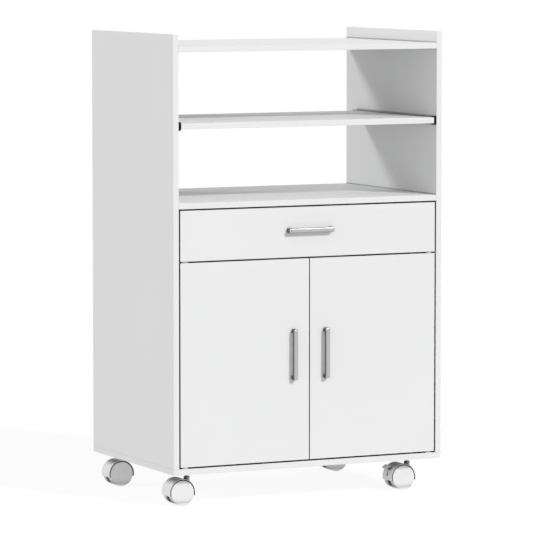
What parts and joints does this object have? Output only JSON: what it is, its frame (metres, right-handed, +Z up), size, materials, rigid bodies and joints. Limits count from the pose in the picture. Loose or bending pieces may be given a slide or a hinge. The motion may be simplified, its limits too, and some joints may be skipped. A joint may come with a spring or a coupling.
{
  "type": "microwave cart",
  "caption": "Tall white kitchen cart with open bays, a sliding shelf, a drawer and a two-door cupboard, on swivelling twin-wheel casters with brakes.",
  "frame": {"origin": "on the floor, under the middle of the whole cart with its handles", "axes": "+Z up, -Y out of the front where the doors and the drawer open, +X to the right of someone facing the front"},
  "size_m": [0.6, 0.413, 0.938],
  "materials": {
    "white_board": "white melamine on particle board, smooth satin",
    "white_hardboard": "white lacquered hardboard",
    "handle_metal": "brushed nickel",
    "black_plastic": "black moulded plastic",
    "channel_metal": "satin anodised aluminium",
    "zinc_steel": "zinc plated",
    "beech": "fluted beech, plain",
    "nylon": "natural nylon",
    "catch_plastic": "white plastic",
    "caster_plastic": "white moulded plastic, half gloss",
    "lever_plastic": "pale grey moulded plastic"
  },
  "bodies": {
    "cabinet": {"left_side_panel": "white_board", "right_side_panel": "white_board", "bottom_panel": "white_board", "top_panel": "white_board", "fixed_shelf": "white_board", "cross_rail": "white_board", "cam_locks": "zinc_steel", "cam_bolts": "zinc_steel", "wood_dowels": "beech", "base_screws": "zinc_steel", "back_panel": "white_hardboard", "inner_shelf": "white_board", "shelf_pins": "zinc_steel", "left_shelf_channel": "channel_metal", "channel_caps": "black_plastic", "mounting_screws": "zinc_steel", "right_shelf_channel": "channel_metal", "left_cabinet_runner": "zinc_steel", "right_cabinet_runner": "zinc_steel", "door_pivots": "zinc_steel", "door_catches": "catch_plastic", "caster_plates": "zinc_steel"},
    "sliding_shelf": {"sliding_shelf": "white_board"},
    "drawer": {"drawer_front": "white_board", "drawer_left_side": "white_board", "drawer_cam_locks": "zinc_steel", "drawer_cam_bolts": "zinc_steel", "drawer_right_side": "white_board", "drawer_back": "white_board", "drawer_bottom": "white_hardboard", "left_drawer_runner": "zinc_steel", "drawer_screws": "zinc_steel", "right_drawer_runner": "zinc_steel", "drawer_handle": "handle_metal"},
    "cabinet_rollers": {"cabinet_rollers": "nylon"},
    "drawer_rollers": {"drawer_rollers": "nylon"},
    "left_door": {"left_door": "white_board", "left_door_handle": "handle_metal", "left_door_handle_screws": "zinc_steel", "left_door_bushes": "nylon", "left_strike_plate": "zinc_steel"},
    "right_door": {"right_door": "white_board", "right_door_handle": "handle_metal", "right_door_handle_screws": "zinc_steel", "right_door_bushes": "nylon", "right_strike_plate": "zinc_steel"},
    "front_left_caster": {"front_left_caster_hood": "caster_plastic", "front_left_caster_axle": "zinc_steel"},
    "front_left_wheels": {"front_left_caster_wheels": "caster_plastic"},
    "front_right_caster": {"front_right_caster_hood": "caster_plastic", "front_right_caster_axle": "zinc_steel"},
    "front_right_wheels": {"front_right_caster_wheels": "caster_plastic"},
    "rear_left_caster": {"rear_left_caster_hood": "caster_plastic", "rear_left_caster_axle": "zinc_steel"},
    "rear_left_wheels": {"rear_left_caster_wheels": "caster_plastic"},
    "rear_right_caster": {"rear_right_caster_hood": "caster_plastic", "rear_right_caster_axle": "zinc_steel"},
    "rear_right_wheels": {"rear_right_caster_wheels": "caster_plastic"},
    "front_right_brake": {"front_right_brake_lever": "lever_plastic"},
    "rear_right_brake": {"rear_right_brake_lever": "lever_plastic"}
  },
  "joints": [
    {"name": "shelf_slide", "type": "slide", "parent": "cabinet", "child": "sliding_shelf", "axis": [0, -1, 0], "range_m": [0, 0.2]},
    {"name": "drawer_slide", "type": "slide", "parent": "cabinet", "child": "drawer", "axis": [0, -1, 0], "range_m": [0, 0.255]},
    {"name": "cabinet_roller_spin", "type": "hinge", "parent": "cabinet", "child": "cabinet_rollers", "pos_m": [0, -0.1615, 0.5207], "axis": [1, 0, 0], "continuous": true},
    {"name": "drawer_roller_spin", "type": "hinge", "parent": "drawer", "child": "drawer_rollers", "pos_m": [0, 0.1525, 0.51965], "axis": [1, 0, 0], "continuous": true},
    {"name": "left_door_hinge", "type": "hinge", "parent": "cabinet", "child": "left_door", "pos_m": [-0.273, -0.1875, 0.28415], "axis": [0, 0, -1], "range_deg": [0, 105]},
    {"name": "right_door_hinge", "type": "hinge", "parent": "cabinet", "child": "right_door", "pos_m": [0.273, -0.1875, 0.28415], "axis": [0, 0, 1], "range_deg": [0, 105]},
    {"name": "front_left_swivel", "type": "hinge", "parent": "cabinet", "child": "front_left_caster", "pos_m": [-0.249, -0.1435, 0.0485], "axis": [0, 0, 1], "continuous": true},
    {"name": "front_left_wheel_spin", "type": "hinge", "parent": "front_left_caster", "child": "front_left_wheels", "pos_m": [-0.267, -0.1435, 0.0254], "axis": [0, 1, 0], "continuous": true},
    {"name": "front_right_swivel", "type": "hinge", "parent": "cabinet", "child": "front_right_caster", "pos_m": [0.249, -0.1435, 0.0485], "axis": [0, 0, 1], "continuous": true},
    {"name": "front_right_wheel_spin", "type": "hinge", "parent": "front_right_caster", "child": "front_right_wheels", "pos_m": [0.231, -0.1435, 0.0254], "axis": [0, 1, 0], "continuous": true},
    {"name": "front_right_brake_pivot", "type": "hinge", "parent": "front_right_caster", "child": "front_right_brake", "pos_m": [0.2205, -0.1435, 0.0375], "axis": [0, -1, 0], "range_deg": [0, 10]},
    {"name": "rear_left_swivel", "type": "hinge", "parent": "cabinet", "child": "rear_left_caster", "pos_m": [-0.249, 0.1565, 0.0485], "axis": [0, 0, 1], "continuous": true},
    {"name": "rear_left_wheel_spin", "type": "hinge", "parent": "rear_left_caster", "child": "rear_left_wheels", "pos_m": [-0.267, 0.1565, 0.0254], "axis": [0, 1, 0], "continuous": true},
    {"name": "rear_right_swivel", "type": "hinge", "parent": "cabinet", "child": "rear_right_caster", "pos_m": [0.249, 0.1565, 0.0485], "axis": [0, 0, 1], "continuous": true},
    {"name": "rear_right_wheel_spin", "type": "hinge", "parent": "rear_right_caster", "child": "rear_right_wheels", "pos_m": [0.231, 0.1565, 0.0254], "axis": [0, 1, 0], "continuous": true},
    {"name": "rear_right_brake_pivot", "type": "hinge", "parent": "rear_right_caster", "child": "rear_right_brake", "pos_m": [0.2205, 0.1565, 0.0375], "axis": [0, -1, 0], "range_deg": [0, 10]}
  ],
  "couplings": [
    {"joint": "cabinet_roller_spin", "follows": "drawer_slide", "rad_per_m": 125},
    {"joint": "drawer_roller_spin", "follows": "drawer_slide", "rad_per_m": 125}
  ]
}
